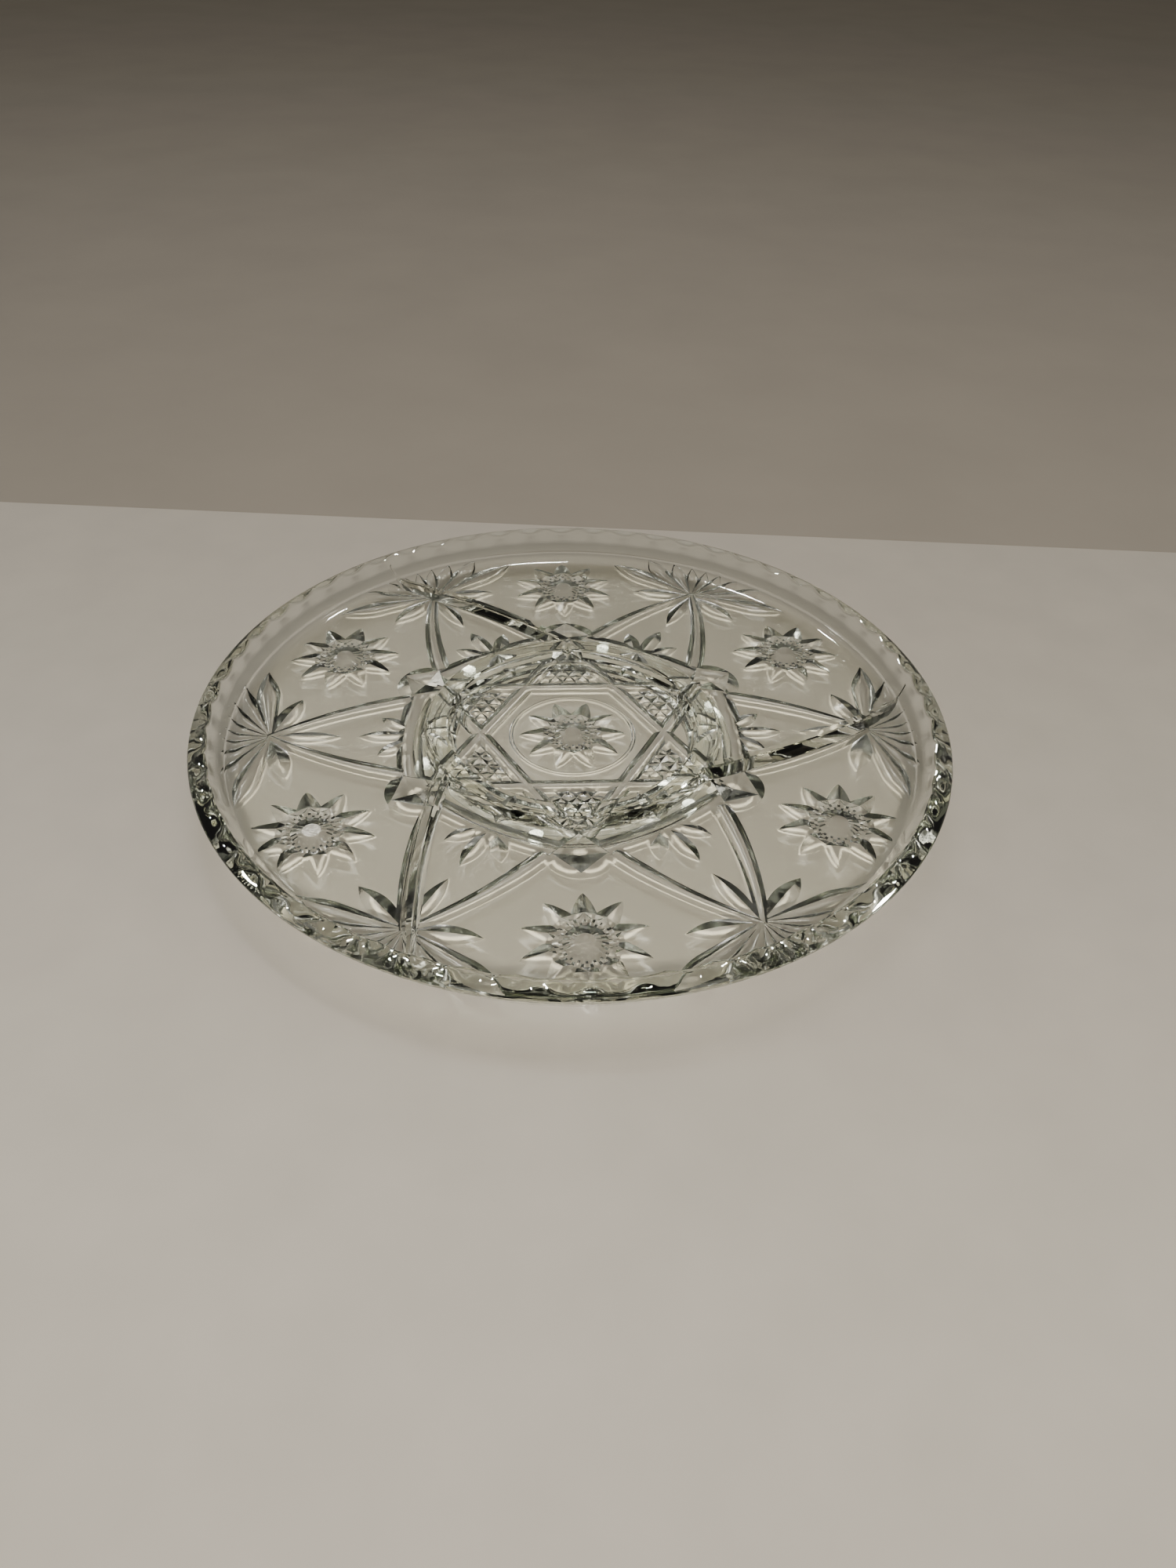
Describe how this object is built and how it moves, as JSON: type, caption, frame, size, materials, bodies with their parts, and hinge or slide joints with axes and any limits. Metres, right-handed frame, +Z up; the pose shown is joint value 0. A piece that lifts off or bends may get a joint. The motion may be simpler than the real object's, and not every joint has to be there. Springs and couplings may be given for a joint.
{
  "type": "lazy susan turntable",
  "caption": "Round divided glass serving tray with a scalloped rim, centre ring and swirl dividers, turning freely on a low clear ring-shaped ball swivel with feet.",
  "frame": {"origin": "on the turning axis, at table height, centred under the swivel's feet", "axes": "+Z up along the turning axis; +X is the direction of one of the three swirl dividers where it meets the rim"},
  "size_m": [0.2794, 0.2794, 0.0228],
  "materials": {
    "pressed_glass": "clear pressed glass, fire polished, with a slight green-grey tint where it is thick",
    "clear_plastic": "clear moulded polycarbonate, glossy",
    "clear_silicone": "clear silicone, satin",
    "cage_plastic": "clear moulded plastic, satin",
    "ball_glass": "polished clear glass"
  },
  "bodies": {
    "base": {"base_ring": "clear_plastic", "base_feet": "clear_silicone", "keeper_ring": "clear_plastic"},
    "tray": {"glass_tray": "pressed_glass", "grip_pads": "clear_silicone", "turn_ring": "clear_plastic"},
    "cage": {"ball_cage": "cage_plastic", "bearing_balls": "ball_glass"}
  },
  "joints": [
    {"name": "turntable_spin", "type": "hinge", "parent": "base", "child": "tray", "pos_m": [0, 0, 0.00205], "axis": [0, 0, 1], "continuous": true},
    {"name": "cage_spin", "type": "hinge", "parent": "base", "child": "cage", "pos_m": [0, 0, 0.00205], "axis": [0, 0, 1], "continuous": true}
  ],
  "couplings": [
    {"joint": "cage_spin", "follows": "turntable_spin", "ratio": 0.5}
  ]
}
